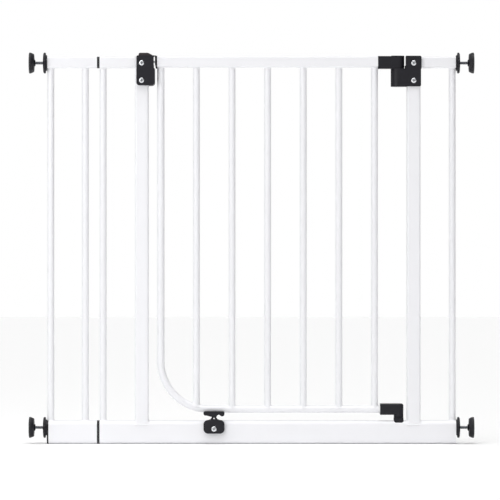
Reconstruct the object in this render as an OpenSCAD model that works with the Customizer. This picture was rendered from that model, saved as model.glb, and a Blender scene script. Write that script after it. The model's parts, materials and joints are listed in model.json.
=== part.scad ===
// Pressure-fit safety gate for a doorway: a steel frame with a side extension,
// a door that lifts and swings on two pins, a thumb latch, a turn-aside door stop and four screw pads.
// Millimetres. X runs along the gate, -Y is the side it is looked at from, Z is up.
// The origin is on the floor, half way between the walls.

/* [Overall] */
// Width over the two outermost bars, with the extension fitted
frame_w = 780; // [740:1:960]
// Height of the frame's top rails
frame_h = 739; // [600:1:900]
// Width of the extension panel
extension_w = 95; // [90:0.5:140]
// Thickness of the black spacers between the extension and the frame
spacer_w = 5; // [3:0.5:8]
// Distance from each outer bar's axis to its post's axis
side_bay = 74; // [60:1:100]
// Distance between the axes of the extension's two bars
extension_bar_pitch = 66; // [50:1:68]

/* [Tubes] */
// Diameter of the round bars
bar_d = 13; // [10:0.5:15]
// Wall of every steel tube
tube_wall = 1.2; // [0.8:0.1:1.6]
// Height of the top rails
rail_h = 21.5; // [18:0.5:26]
// Depth of the top rails
rail_d = 20; // [18:0.5:22]
// Width of the two posts
post_w = 26; // [22:0.5:32]
// Depth of the two posts
post_d = 24; // [20:0.5:24]
// Corner radius of the posts
post_r = 4; // [2:0.5:6]
// Height of the base rail
base_h = 44.5; // [40:0.5:55]
// Depth of the base rail
base_d = 25; // [24.5:0.5:30]
// Corner radius of the base rail
base_r = 9; // [5:0.5:11]

/* [Door] */
// Diameter of the bent tube
door_tube_d = 14; // [12:0.5:16]
// Centreline radius of the bend
bend_r = 91; // [50:1:140]
// Height of the bottom tube's axis above the base rail
door_clear = 21.5; // [17:0.5:45]
// Height of the door's rail above the frame's rails
door_rise = 1.3; // [0:0.1:4]
// Gap between the left post and the bent tube
latch_gap = 16.2; // [15:0.1:22]
// Distance from the right post's face to the hinge axis
hinge_offset = 15.5; // [15:0.1:20]
// Distance from the hinge axis to the last bar's axis
hinge_reach = 46; // [40:0.5:70]
// Height that the door can be lifted
lift_h = 6; // [4:0.5:8]

/* [Hinge] */
// Diameter of the hinge pins
pin_d = 8; // [5:0.5:9]
// Radius of the upper hinge arm's round end
knuckle_r = 11; // [9:0.5:12]
// Radius of the bracket's barrel
barrel_r = 15; // [12:0.5:15]
// Height of the bracket's barrel
barrel_h = 34; // [25:1:50]
// Radius of the lower hinge's leg
elbow_r = 9.25; // [8.5:0.25:11]
// Height of the lower hinge's arm
elbow_h = 21.6; // [19:0.2:26]

/* [Latch] */
// Height of the latch housing
housing_h = 57; // [50:1:80]
// Reach of the latch housing past the left post
housing_reach = 11.8; // [11.5:0.1:14]
// Width of the latch housing in front of the post
housing_cover = 23; // [20:0.5:24]
// Travel of the thumb slide
slide_travel = 5.5; // [5:0.1:6]
// Length of the thumb pad
thumb_l = 21; // [16:0.5:22]
// Turns of the latch spring
spring_turns = 7; // [5:1:9]

/* [Door stop] */
// Position of the stop's screw along the gate
stop_x = -71.5; // [-120:0.5:120]
// Height of the stop's screw
stop_z = 29; // [25:0.5:32]
// Length of the stop's cross bar
stop_bar_l = 40; // [30:1:50]

/* [Wall pads] */
// Diameter of the threaded spindles
rod_d = 6; // [5:0.5:8]
// Length of the threaded spindles
rod_l = 83; // [70:1:84]
// Diameter of the wall pads
pad_d = 40; // [34:1:50]
// Diameter of the adjusting knobs
knob_d = 40; // [34:1:46]
// Thickness of the adjusting knobs
knob_t = 7.6; // [6:0.2:10]
// Free length of spindle between knob and pad
reach = 17; // [13:0.5:30]
// Height of the two lower spindles
lower_spindle_z = 31; // [25:0.5:32]

/* [Hidden] */
$fn = 48;
door_bars = 6; // straight bars in the door, each with a node of its own
fit = 0.05; // running and sliding clearance, radial
gap = 0.3; // clearance between pieces that move past each other

steel_white = [0.93, 0.93, 0.94];
black_plastic = [0.17, 0.17, 0.19];
zinc = [0.78, 0.79, 0.80];
rubber_black = [0.11, 0.11, 0.12];

// places along X
half_w = frame_w / 2;
ext_bar_x = -half_w + bar_d / 2;
ext_inner_x = ext_bar_x + extension_bar_pitch;
ext_end_x = -half_w + extension_w;
main_x = ext_end_x + spacer_w;
left_bar_x = main_x + bar_d / 2;
right_bar_x = half_w - bar_d / 2;
left_post_x = left_bar_x + side_bay;
right_post_x = right_bar_x - side_bay;
left_post_face = left_post_x + post_w / 2;
right_post_face = right_post_x - post_w / 2;
hinge_x = right_post_face - hinge_offset;
door_tube_x = left_post_face + latch_gap + door_tube_d / 2;
last_bar_x = hinge_x - hinge_reach;
bar_pitch = (last_bar_x - door_tube_x) / door_bars;
door_left_x = door_tube_x - door_tube_d / 2;
door_right_x = last_bar_x + bar_d / 2;

// places along Z
door_bottom_z = base_h + door_clear;
rail_z = frame_h - rail_h / 2;
rail_under_z = frame_h - rail_h;
door_rail_z = rail_z + door_rise;
door_rail_under_z = rail_under_z + door_rise;
spindle_drop = 1; // the upper spindles lie this far below the middle of the rails
upper_spindle_z = rail_z - spindle_drop;
post_drop = 2; // the posts end this far below the rails' tops
post_top_z = frame_h - post_drop;

// sections
rail_r = (rail_d - bar_d) / 2; // leaves a flat as wide as a bar
cap_t = 3; // end cap of the base rail
plug_l = 20; // depth of plugs and bushes inside tubes
plug_r = 2; // corner radius of plugs

// hinge
knuckle_top_z = door_rail_z + rail_h / 2 + 0.6;
knuckle_z = door_rail_under_z - 2.5;
barrel_top_z = knuckle_z - gap;
barrel_bottom_z = barrel_top_z - barrel_h;
bracket_wall = 1.6;
bracket_front_y = -barrel_r;
bracket_split_y = 8;
bracket_top_z = knuckle_top_z - 0.4;
bracket_left_x = right_post_face - bracket_wall;
bracket_right_x = right_post_x + post_w / 2 + bracket_wall;
sleeve_y = knuckle_r - 0.7;
sleeve_end_x = hinge_x - barrel_r + 1;
pin_r = pin_d / 2;
pin_bore_r = pin_r + fit;
foot_top_z = base_h + 5.5;
elbow_z = foot_top_z + gap;
elbow_top_z = door_bottom_z + elbow_h / 2;
elbow_start_x = last_bar_x + bar_d / 2 + 4;
tube_end_x = elbow_start_x + 16;
elbow_edge = 4; // rounding of the elbow's outer edges
foot_d = base_d - 3; // depth of the foot, which reaches over the rail's rounded edges
stem_r = 7;
foot_stem_z = base_h - 18;
foot_bore_z = foot_stem_z + 4;
elbow_bore_z = door_bottom_z + 4;
knuckle_bore_z = knuckle_top_z - 5;
pin_l = elbow_bore_z - foot_bore_z - 2 * gap;
barrel_bore_z = knuckle_bore_z - pin_l - 4 * gap;

// latch
housing_y = 19; // front and back faces of the housing
housing_top_z = post_top_z + 4;
housing_z = housing_top_z - housing_h;
housing_left_x = left_post_face - housing_cover;
housing_right_x = left_post_face + housing_reach;
nose_tip_x = left_post_face + 7;
nose_h = 4;
nose_top_gap = 1.7; // above the nose when the door is lifted
nose_half_y = 3.5;
plate_t = 1.8;
plate_z = post_top_z + 0.2;
nose_z = plate_z + plate_t - nose_top_gap - lift_h - nose_h;
plate_half_y = post_d / 2 - 0.6;
lip_z = plate_z + plate_t + gap;
lip_y = plate_half_y - 2.4;
claw_x = left_post_face + slide_travel + gap;
notch_w = 2.1;
claw_end_x = housing_right_x - notch_w - gap;
claw_y = nose_half_y + 0.5;
claw_t = 5;
claw_z = nose_z - 2.8;
thumb_x = left_post_face - thumb_l + 2;
lug_x = left_post_face - 6.5;
lug_t = 3;
lug_y = housing_y - 2;
spring_d = 4.6;
spring_wire = 0.8;
spring_x = housing_left_x + 2;
spring_y = -(post_d / 2 + 0.4 + spring_d / 2);
spring_z = plate_z - 1.4;
flange_x = housing_right_x + 0.4;

// fasteners
screw_r = 2.5;
screw_head_d = 10;
screw_head_t = 2.4;
head_sink = 1; // depth that the screw heads are let in
recess_w = 1.5; // width of each slot of the cross recess
recess_depth = 1.9;
nut_af = 8; // across flats
nut_t = 3.5;
upper_screw_z = rail_z - 1.6;
lower_screw_z = upper_screw_z - 33.3;

// door stop
stop_face_y = base_d / 2; // front face of the base rail
block_t = 3.5;
lever_t = 3.8;
lever_y = stop_face_y + block_t + 0.2;
lever_front_y = lever_y + lever_t;
stop_bar_z = base_h + 9.9;
stop_bar_h = 8.4;
block_r = stop_bar_z - stop_z - 0.7;
block_w = 40;
block_z = stop_z - 9;
block_top_z = base_h + 1.2;
stop_plate_w = 39;
stop_plate_top_z = base_h + 3.6;
stop_dome_r = 32;
stop_corner_r = 8.5;

// spindles
rod_r = rod_d / 2;
rod_bore_r = rod_r + fit;
bush_flange_x = half_w + 0.5;
knob_hub_d = 30;
knob_hub_t = 2.3;
knob_x = bush_flange_x + gap;
pad_back_x = knob_x + knob_t + reach;
cup_t = 6.5;
face_t = 3;
cup_boss_t = 2.5;
cup_small_d = pad_d - 6;
rod_end_x = pad_back_x + cup_t - 2;

// ---- shared shapes ----

// A rectangle with rounded corners, centred
module rounded(w, h, r) {
    square([w - 2 * r, h], center = true);
    square([w, h - 2 * r], center = true);
    for (sx = [-1, 1], sy = [-1, 1])
        translate([sx * (w / 2 - r), sy * (h / 2 - r)]) circle(r);
}

// A block given by its lowest and highest corners
module block(low, high) {
    translate(low) cube([for (i = [0:2]) high[i] - low[i]]);
}

// A rounded bar along X, from x0 to x1, w deep and h high
module bar_x(x0, x1, z, w, h, r) {
    translate([x0, 0, z]) rotate([90, 0, 90]) linear_extrude(x1 - x0) rounded(w, h, r);
}

// A rounded bar along Z, from z0 to z1, w along X and d deep
module bar_z(x, z0, z1, w, d, r) {
    translate([x, 0, z0]) linear_extrude(z1 - z0) rounded(w, d, r);
}

// A round bar along X, Y or Z
module rod_x(x0, x1, z, r) {
    translate([x0, 0, z]) rotate([0, 90, 0]) cylinder(r = r, h = x1 - x0);
}
module rod_y(x, y0, y1, z, r) {
    translate([x, y1, z]) rotate([90, 0, 0]) cylinder(r = r, h = y1 - y0);
}
module rod_z(x, z0, z1, r) {
    translate([x, 0, z0]) cylinder(r = r, h = z1 - z0);
}

// A flat outline in X and Z, from y0 back to y1
module plate_y(y0, y1) {
    translate([0, y1, 0]) rotate([90, 0, 0]) linear_extrude(y1 - y0) children();
}

// The base rail's outer shape over the whole width
module base_shape() {
    bar_x(-half_w - 10, half_w + 10, base_h / 2, base_d, base_h, base_r);
}

// A hollow piece of the base rail
module base_tube(x0, x1) {
    inner_r = base_r - tube_wall;
    difference() {
        bar_x(x0, x1, base_h / 2, base_d, base_h, base_r);
        bar_x(x0 - 1, x1 + 1, base_h / 2, base_d - 2 * tube_wall, base_h - 2 * tube_wall, inner_r);
    }
}

// A hollow top rail, with its middle at height z
module rail_tube(x0, x1, z) {
    inner_r = rail_r - tube_wall;
    difference() {
        bar_x(x0, x1, z, rail_d, rail_h, rail_r);
        bar_x(x0 - 1, x1 + 1, z, rail_d - 2 * tube_wall, rail_h - 2 * tube_wall, inner_r);
    }
}

// A plug for the end of a top rail
module rail_plug(x0, x1, z) {
    slack = 2 * tube_wall + 0.2;
    bar_x(x0, x1, z, rail_d - slack, rail_h - slack, plug_r);
}

// A round bar that stands on the base rail
module standing_bar(x, top) {
    difference() {
        rod_z(x, base_h - base_r, top, bar_d / 2);
        rod_z(x, base_h - base_r - 1, top + 1, bar_d / 2 - tube_wall);
        base_shape();
    }
}

// A post that stands on the base rail
module standing_post(x) {
    difference() {
        bar_z(x, base_h - base_r, post_top_z, post_w, post_d, post_r);
        bar_z(x, base_h - base_r - 1, post_top_z + 1,
            post_w - 2 * tube_wall, post_d - 2 * tube_wall, post_r - tube_wall);
        base_shape();
        for (z = [upper_screw_z, lower_screw_z])
            rod_y(x, -post_d, post_d, z, screw_r + fit);
    }
}

// ---- frame ----

module base_rail() color(steel_white) {
    difference() {
        base_tube(main_x, half_w - cap_t + 0.5);
        rod_z(hinge_x, base_h / 2, base_h + 1, stem_r);
        rod_y(stop_x, -base_d, 0, stop_z, screw_r);
    }
}

module left_outer_bar() color(steel_white) standing_bar(left_bar_x, rail_under_z);

module left_post() color(steel_white) standing_post(left_post_x);

module right_post() color(steel_white) standing_post(right_post_x);

module right_outer_bar() color(steel_white) standing_bar(right_bar_x, rail_under_z);

module left_top_rail() color(steel_white) rail_tube(main_x, left_post_x - post_w / 2, rail_z);

module right_top_rail() color(steel_white) rail_tube(right_post_x + post_w / 2, half_w, rail_z);

// ---- extension ----

module extension_base_rail() color(steel_white) base_tube(-half_w + cap_t - 0.5, ext_end_x);

module extension_top_rail() color(steel_white) rail_tube(-half_w, ext_end_x, rail_z);

module extension_outer_bar() color(steel_white) standing_bar(ext_bar_x, rail_under_z);

module extension_inner_bar() color(steel_white) standing_bar(ext_inner_x, rail_under_z);

module joint_spacers() color(rubber_black) {
    difference() {
        bar_x(ext_end_x, main_x, rail_z, rail_d, rail_h, rail_r);
        rod_x(ext_end_x - 1, main_x + 1, upper_spindle_z, rod_r);
    }
    difference() {
        bar_x(ext_end_x, main_x, base_h / 2, base_d, base_h, base_r);
        rod_x(ext_end_x - 1, main_x + 1, lower_spindle_z, rod_r);
    }
}

// Plugs that hold the two studs between the extension and the frame
module joint_bushes() color(black_plastic) {
    slack = 2 * tube_wall + 0.2;
    for (x0 = [ext_end_x - plug_l, main_x]) {
        difference() {
            rail_plug(x0, x0 + plug_l, rail_z);
            rod_x(x0 - 1, x0 + plug_l + 1, upper_spindle_z, rod_r);
        }
        difference() {
            bar_x(x0, x0 + plug_l, base_h / 2, base_d - slack, base_h - slack, base_r - slack / 2);
            rod_x(x0 - 1, x0 + plug_l + 1, lower_spindle_z, rod_r);
        }
    }
}

module joint_studs() color(zinc) {
    for (z = [upper_spindle_z, lower_spindle_z])
        rod_x(ext_end_x - plug_l + 2, main_x + plug_l - 2, z, rod_r);
}

// Plugs in the tops of the two posts
module post_plugs() color(steel_white) {
    for (x = [left_post_x, right_post_x])
        bar_z(x, post_top_z - cap_t, post_top_z, post_w - 2 * tube_wall - 0.2,
            post_d - 2 * tube_wall - 0.2, post_r - tube_wall - 0.1);
}

// An end cap of the base rail, with the bore that guides the lower spindle
module base_end_cap() {
    slack = 2 * tube_wall + 0.2;
    difference() {
        union() {
            bar_x(half_w - cap_t + 0.5, half_w + 0.5, base_h / 2, base_d, base_h, base_r);
            bar_x(half_w - plug_l, half_w - cap_t + 0.5, base_h / 2,
                base_d - slack, base_h - slack, base_r - slack / 2);
        }
        rod_x(half_w - plug_l - 1, bush_flange_x + 1, lower_spindle_z, rod_bore_r);
    }
}

module left_end_cap() color(black_plastic) mirror([1, 0, 0]) base_end_cap();

module right_end_cap() color(steel_white) base_end_cap();

// End plugs of the top rails, which guide the upper spindles
module spindle_bushes() color(black_plastic) {
    for (side = [0, 1]) mirror([side, 0, 0]) difference() {
        union() {
            rail_plug(half_w - plug_l, half_w, rail_z);
            bar_x(half_w, bush_flange_x, rail_z, rail_d, rail_h, rail_r);
        }
        rod_x(half_w - plug_l - 1, bush_flange_x + 1, upper_spindle_z, rod_bore_r);
    }
}

// ---- fasteners ----

// A pan-head screw with a cross recess, its head's underside at y and its tip at y_tip
module pan_screw(x, y, z, y_tip) {
    head_r = screw_head_d / 2;
    rim_t = screw_head_t / 2;
    difference() {
        union() {
            rod_y(x, y, y_tip, z, screw_r);
            translate([x, y, z]) rotate([90, 0, 0]) rotate_extrude() polygon([
                [0, 0], [head_r, 0], [head_r, rim_t], [head_r - 0.7, screw_head_t - 0.5],
                [head_r - 2, screw_head_t - 0.1], [head_r - 3, screw_head_t], [0, screw_head_t]]);
        }
        for (turn = [0, 90]) translate([x, y - screw_head_t, z]) rotate([0, turn, 0])
            cube([0.56 * screw_head_d, 2 * recess_depth, recess_w], center = true);
    }
}

// A hex nut round a screw, from y0 to y1
module hex_nut(x, y0, y1, z, slack = 0) {
    plate_y(y0, y1) translate([x, z]) circle(d = (nut_af + slack) / cos(30), $fn = 6);
}

module latch_screws() color(zinc) {
    for (z = [upper_screw_z, lower_screw_z])
        pan_screw(left_post_x, -housing_y + head_sink, z, housing_y - 0.5);
}

module hinge_screws() color(zinc) {
    for (z = [upper_screw_z, lower_screw_z])
        pan_screw(right_post_x, bracket_front_y + head_sink, z, barrel_r - 0.5);
}

module clamp_nuts() color(zinc) {
    for (z = [upper_screw_z, lower_screw_z]) {
        difference() {
            hex_nut(left_post_x, housing_y - nut_t, housing_y, z);
            rod_y(left_post_x, 0, housing_y + 1, z, screw_r);
        }
        difference() {
            hex_nut(right_post_x, barrel_r - nut_t / 2 - 1.2, barrel_r, z);
            rod_y(right_post_x, 0, barrel_r + 1, z, screw_r);
        }
    }
}

// Holes for a screw and its head and nut in a clamped pair of shells
module screw_holes(x, front_y, back_y, nut_y) {
    for (z = [upper_screw_z, lower_screw_z]) {
        rod_y(x, front_y - 1, back_y + 1, z, screw_r);
        rod_y(x, front_y - 1, front_y + head_sink, z, screw_head_d / 2);
        hex_nut(x, nut_y, back_y + 1, z, 2 * fit);
    }
}

// ---- latch ----

// The latch housing's outline in X and Z
module housing_outline() {
    w = housing_right_x - housing_left_x;
    r = 6;
    top_r = 3;
    translate([housing_left_x, housing_z]) {
        translate([0, r]) square([w, housing_h - r - top_r]);
        translate([r, 0]) square([w - 2 * r, r]);
        for (x = [r, w - r]) translate([x, r]) circle(r);
        translate([top_r, housing_h - top_r]) square([w - top_r, top_r]);
        translate([top_r, housing_h - top_r]) circle(top_r);
    }
}

// The open notch between the housing and the door's end cap
module latch_notch() {
    block([housing_right_x - notch_w, -housing_y - 1, nose_z - 11],
        [housing_right_x + 1, housing_y + 1, housing_top_z - 2.4]);
}

// The front of the housing; beside the post it stands in front of the nose
module latch_housing_front() color(black_plastic) {
    front_y = -housing_y;
    cavity_z = spring_z - spring_d / 2 - 0.4;
    difference() {
        union() {
            plate_y(front_y, -post_d / 2) housing_outline();
            intersection() {
                plate_y(front_y, -nose_half_y - gap) housing_outline();
                block([left_post_face, front_y, housing_z], [housing_right_x, 0, housing_top_z]);
            }
            block([housing_left_x + 2, -post_d / 2 - 1, lip_z], [left_post_face, -lip_y, housing_top_z]);
        }
        // the notch that leaves a gap beside the door's end cap
        latch_notch();
        // the room for the thumb pad
        block([left_post_face, -lip_y, plate_z + plate_t - gap], [housing_right_x + 1, 0, housing_top_z + 1]);
        // the room for the spring and the slide's lug
        block([spring_x, -lug_y - gap, cavity_z], [lug_x + lug_t + gap, -post_d / 2 + 1, lip_z]);
        screw_holes(left_post_x, front_y, housing_y, housing_y - nut_t);
    }
}

// The back of the housing, cut away where the nose swings out
module latch_housing_back() color(black_plastic) {
    difference() {
        union() {
            plate_y(post_d / 2, housing_y) intersection() {
                housing_outline();
                translate([housing_left_x, housing_z])
                    square([left_post_face - housing_left_x, housing_h]);
            }
            intersection() {
                plate_y(-nose_half_y, housing_y) housing_outline();
                block([left_post_face, -nose_half_y, housing_z], [housing_right_x, housing_y, claw_z - gap]);
            }
            block([housing_left_x + 2, lip_y, lip_z], [left_post_face, post_d / 2 + 1, housing_top_z]);
        }
        latch_notch();
        screw_holes(left_post_x, -housing_y, housing_y, housing_y - nut_t);
    }
}

// The coil's centre line: t is the angle in degrees
function coil_point(t, len, r) = [len * t / (360 * spring_turns), r * cos(t), r * sin(t)];

module latch_spring() color(zinc) {
    len = lug_x - spring_x - spring_wire;
    coil_r = (spring_d - spring_wire) / 2;
    steps = spring_turns * 16;
    sides = 6;
    wire_r = spring_wire / 2;
    rings = [for (i = [0:steps]) let (t = 360 * spring_turns * i / steps)
        [for (k = [0:sides - 1]) let (a = 360 * k / sides, c = coil_point(t, len, coil_r))
            [c[0] + wire_r * sin(a), c[1] + wire_r * cos(a) * cos(t), c[2] + wire_r * cos(a) * sin(t)]]];
    walls = [for (i = [0:steps - 1], k = [0:sides - 1]) let (n = (k + 1) % sides)
        [i * sides + k, i * sides + n, (i + 1) * sides + n, (i + 1) * sides + k]];
    ends = [[for (k = [sides - 1:-1:0]) k], [for (k = [0:sides - 1]) steps * sides + k]];
    translate([spring_x + spring_wire / 2, spring_y, spring_z])
        polyhedron(points = [for (ring = rings) each ring], faces = concat(walls, ends), convexity = 10);
}

// The thumb slide: a pad on top, a plate over the post, a claw behind the nose and a spring lug
module latch_slide() color(black_plastic) {
    plate_top_z = plate_z + plate_t;
    pad_y = lip_y - gap;
    pad_rise = 7.5;
    pad_end_x = thumb_x + thumb_l;
    block([thumb_x, -plate_half_y, plate_z], [left_post_face - 0.5, plate_half_y, plate_top_z]);
    // thumb pad
    plate_y(-pad_y, pad_y) {
        translate([thumb_x + 3, plate_top_z]) square([thumb_l - 6, pad_rise]);
        translate([thumb_x, plate_top_z]) square([thumb_l - 6, pad_rise - 3]);
        translate([thumb_x + 3, plate_top_z + pad_rise - 3]) circle(3);
        polygon([[pad_end_x - 6, plate_top_z], [pad_end_x - 3, plate_top_z + pad_rise],
            [claw_end_x - 2, plate_top_z + 3.2], [claw_end_x - 2, plate_top_z]]);
    }
    // arm and claw
    block([left_post_face - 1, claw_y, plate_z], [claw_end_x, claw_y + claw_t, plate_top_z]);
    block([claw_x, claw_y, claw_z], [claw_end_x, claw_y + claw_t, plate_z + 1]);
    // spring lug
    block([lug_x, -plate_half_y - 0.5, plate_z], [lug_x + lug_t, -plate_half_y + 1, plate_top_z]);
    block([lug_x, -lug_y, spring_z - spring_d / 2], [lug_x + lug_t, -post_d / 2 - 0.4, plate_top_z]);
    block([lug_x, -post_d / 2 - 1, plate_z], [lug_x + lug_t, -plate_half_y + 1, plate_top_z]);
}

// ---- hinges ----

// The outline of the bracket round the post, with rounded right corners and a stepped right edge
module bracket_outline() {
    r = 3;
    step = 0.8;
    step_z = 34;
    w = bracket_right_x - bracket_left_x;
    h = bracket_top_z - barrel_bottom_z;
    translate([bracket_left_x, barrel_bottom_z]) {
        square([w - r - step, h]);
        square([w - r, h - r]);
        translate([0, r]) square([w - step, step_z - r]);
        translate([0, step_z]) square([w, h - step_z - r]);
        translate([w - r - step, r]) circle(r);
        translate([w - r, h - r]) circle(r);
        translate([0, h - r]) square([w - r, r]);
    }
}

module hinge_bracket() color(black_plastic) {
    difference() {
        union() {
            plate_y(bracket_front_y, bracket_split_y) bracket_outline();
            rod_z(hinge_x, barrel_bottom_z, barrel_top_z, barrel_r);
            block([hinge_x, bracket_front_y, barrel_bottom_z],
                [bracket_left_x + 1, bracket_split_y, barrel_top_z]);
            block([hinge_x + knuckle_r + 0.7, -3, barrel_top_z - 1],
                [bracket_left_x + 1, 3, barrel_top_z + 6]);
        }
        bar_z(right_post_x, barrel_bottom_z - 1, post_top_z, post_w, post_d, post_r);
        block([right_post_x + post_w / 2, -rail_d / 2 - 0.2, rail_under_z - 0.2],
            [bracket_right_x + 1, bracket_split_y + 1, bracket_top_z + 1]);
        rod_z(hinge_x, barrel_bore_z, barrel_top_z + 1, pin_bore_r);
        screw_holes(right_post_x, bracket_front_y, barrel_r, barrel_r - nut_t / 2 - 1.2);
    }
}

module hinge_bracket_back() color(black_plastic) {
    difference() {
        plate_y(bracket_split_y, barrel_r) bracket_outline();
        bar_z(right_post_x, barrel_bottom_z - 1, post_top_z, post_w, post_d, post_r);
        block([right_post_x + post_w / 2, 0, rail_under_z - 0.2],
            [bracket_right_x + 1, rail_d / 2 + 0.2, bracket_top_z + 1]);
        screw_holes(right_post_x, bracket_front_y, barrel_r, barrel_r - nut_t / 2 - 1.2);
    }
}

module hinge_pins() color(zinc) {
    for (top = [knuckle_bore_z, elbow_bore_z])
        rod_z(hinge_x, top - gap - pin_l, top - gap, pin_r);
}

module lower_hinge_foot() color(black_plastic) {
    difference() {
        union() {
            difference() {
                bar_z(hinge_x, base_h - base_r, foot_top_z, 2 * elbow_r, foot_d, elbow_edge);
                base_shape();
            }
            rod_z(hinge_x, foot_stem_z, foot_top_z, stem_r);
        }
        rod_z(hinge_x, foot_bore_z, foot_top_z + 1, pin_bore_r);
    }
}

module upper_hinge_arm() color(black_plastic) {
    difference() {
        union() {
            rod_z(hinge_x, knuckle_z, knuckle_top_z, knuckle_r);
            block([door_right_x, -sleeve_y, knuckle_z], [sleeve_end_x, sleeve_y, knuckle_top_z - 0.8]);
            block([sleeve_end_x, -knuckle_r, knuckle_z], [hinge_x, knuckle_r, knuckle_top_z]);
            rail_plug(door_right_x - 1.5 * plug_l, door_right_x + 1, door_rail_z);
        }
        rod_z(hinge_x, knuckle_z - 1, knuckle_bore_z, pin_bore_r);
    }
}

module lower_hinge_elbow() color(black_plastic) {
    leg_h = elbow_top_z - elbow_z;
    difference() {
        union() {
            translate([hinge_x, 0, elbow_z]) rotate_extrude() {
                square([elbow_r, leg_h - elbow_edge]);
                square([elbow_r - elbow_edge, leg_h]);
                translate([elbow_r - elbow_edge, leg_h - elbow_edge]) circle(elbow_edge);
            }
            bar_x(elbow_start_x, hinge_x, door_bottom_z, 2 * elbow_r, elbow_h, elbow_edge);
        }
        rod_x(elbow_start_x - 1, tube_end_x, door_bottom_z, door_tube_d / 2);
        rod_z(hinge_x, elbow_z - 1, elbow_bore_z, pin_bore_r);
    }
}

// ---- door stop ----

module stop_block() color(black_plastic) {
    difference() {
        intersection() {
            plate_y(-stop_face_y - block_t, -stop_face_y + base_r - 2) {
                translate([stop_x, (block_z + block_top_z) / 2])
                    rounded(block_w, block_top_z - block_z, stop_corner_r);
            }
            rod_y(stop_x, -stop_face_y - block_t - 1, 0, stop_z, block_r);
        }
        base_shape();
        rod_y(stop_x, -stop_face_y - block_t - 1, 0, stop_z, screw_r);
    }
}

module stop_screw() color(zinc)
    pan_screw(stop_x, -lever_front_y - fit, stop_z, -stop_face_y + 6);

module stop_lever() color(black_plastic) {
    bar_half = stop_bar_l / 2;
    bar_mid_z = stop_bar_z + stop_bar_h / 2;
    neck_half = 5.7;
    plate_drop = stop_plate_top_z - stop_bar_z - 2;
    difference() {
        union() {
            plate_y(-lever_front_y, -lever_y) {
                intersection() {
                    translate([stop_x, block_z + stop_plate_w / 2])
                        rounded(stop_plate_w, stop_plate_w, stop_corner_r);
                    translate([stop_x, stop_plate_top_z - stop_dome_r]) circle(stop_dome_r);
                }
                // the neck, narrowest in its middle
                translate([stop_x, stop_bar_z]) polygon([
                    [-neck_half - 2, plate_drop], [-neck_half + 1.5, -3], [-neck_half - 1, 1],
                    [neck_half + 1, 1], [neck_half - 1.5, -3], [neck_half + 2, plate_drop]]);
                // the slanted web under the left half of the cross bar
                translate([stop_x, stop_bar_z])
                    polygon([[4 - bar_half, 0.5], [1 - neck_half, -2.4], [0, 0.5]]);
            }
            // cross bar, with a finger tab at its right end
            plate_y(-lever_front_y, -stop_face_y - 0.4) {
                translate([stop_x, bar_mid_z]) rounded(stop_bar_l, stop_bar_h, 3.5);
                translate([stop_x + bar_half - 4.5, stop_bar_z + 3]) circle(4.5);
            }
        }
        rod_y(stop_x, -lever_front_y - 1, 0, stop_z, screw_r + fit);
        rod_y(stop_x, -lever_front_y - 1, 0, stop_bar_z - 5.5, 1.3);
        // finger hollow under the cross bar
        rod_y(stop_x + bar_half - 11, -lever_front_y - 1, 0, stop_bar_z - 1.5, 3.2);
    }
}

// ---- door ----

// The bent tube's path, as a solid of radius r
module bent_shape(r, top, end_x) {
    bend_x = door_tube_x + bend_r;
    bend_z = door_bottom_z + bend_r;
    rod_z(door_tube_x, bend_z, top, r);
    rod_x(bend_x, end_x, door_bottom_z, r);
    translate([bend_x, 0, bend_z]) rotate([90, 0, 0]) rotate([0, 0, 180])
        rotate_extrude(angle = 90) translate([bend_r, 0]) circle(r);
}

module door_bent_tube() color(steel_white) {
    difference() {
        bent_shape(door_tube_d / 2, door_rail_under_z, tube_end_x);
        bent_shape(door_tube_d / 2 - tube_wall, door_rail_under_z + 1, tube_end_x + 1);
    }
}

module door_top_rail() color(steel_white) rail_tube(door_left_x, door_right_x, door_rail_z);

// Height of the bent tube's axis at x
function tube_z(x) = let (run = door_tube_x + bend_r - x)
    run > 0 ? door_bottom_z + bend_r - sqrt(bend_r * bend_r - run * run) : door_bottom_z;

// Bar number n, counted from the latch side
module door_bar(n) color(steel_white) {
    x = door_tube_x + n * bar_pitch;
    difference() {
        rod_z(x, tube_z(x), door_rail_under_z, bar_d / 2);
        rod_z(x, door_bottom_z - 1, door_rail_under_z + 1, bar_d / 2 - tube_wall);
        bent_shape(door_tube_d / 2, door_rail_under_z, tube_end_x);
    }
}

module nose_shape(x0, x1, slack) {
    block([x0, -nose_half_y - slack, nose_z - slack], [x1, nose_half_y + slack, nose_z + nose_h + slack]);
}

module door_latch_cap() color(black_plastic) {
    top_z = door_rail_z + rail_h / 2 + 1.2;
    bottom_z = door_rail_under_z - 2;
    difference() {
        union() {
            plate_y(-rail_d / 2 - 0.5, rail_d / 2 + 0.5)
                polygon([[flange_x, top_z], [door_left_x, top_z - 1.2], [door_left_x, bottom_z],
                    [flange_x + 1.6, bottom_z], [flange_x, bottom_z + 8]]);
            rail_plug(door_left_x - 0.5, door_left_x + plug_l, door_rail_z);
        }
        nose_shape(flange_x - 1, door_left_x + plug_l - 5, 0);
    }
}

module door_latch_nose() color(zinc) nose_shape(nose_tip_x, door_left_x + plug_l - 5, 0);

// ---- wall pads ----

// The four corners: side is -1 on the left and 1 on the right
module at_side(side) {
    if (side < 0) mirror([1, 0, 0]) children();
    else children();
}

module rod(side, z) color(zinc) at_side(side) rod_x(rod_end_x - rod_l, rod_end_x, z, rod_r);

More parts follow.
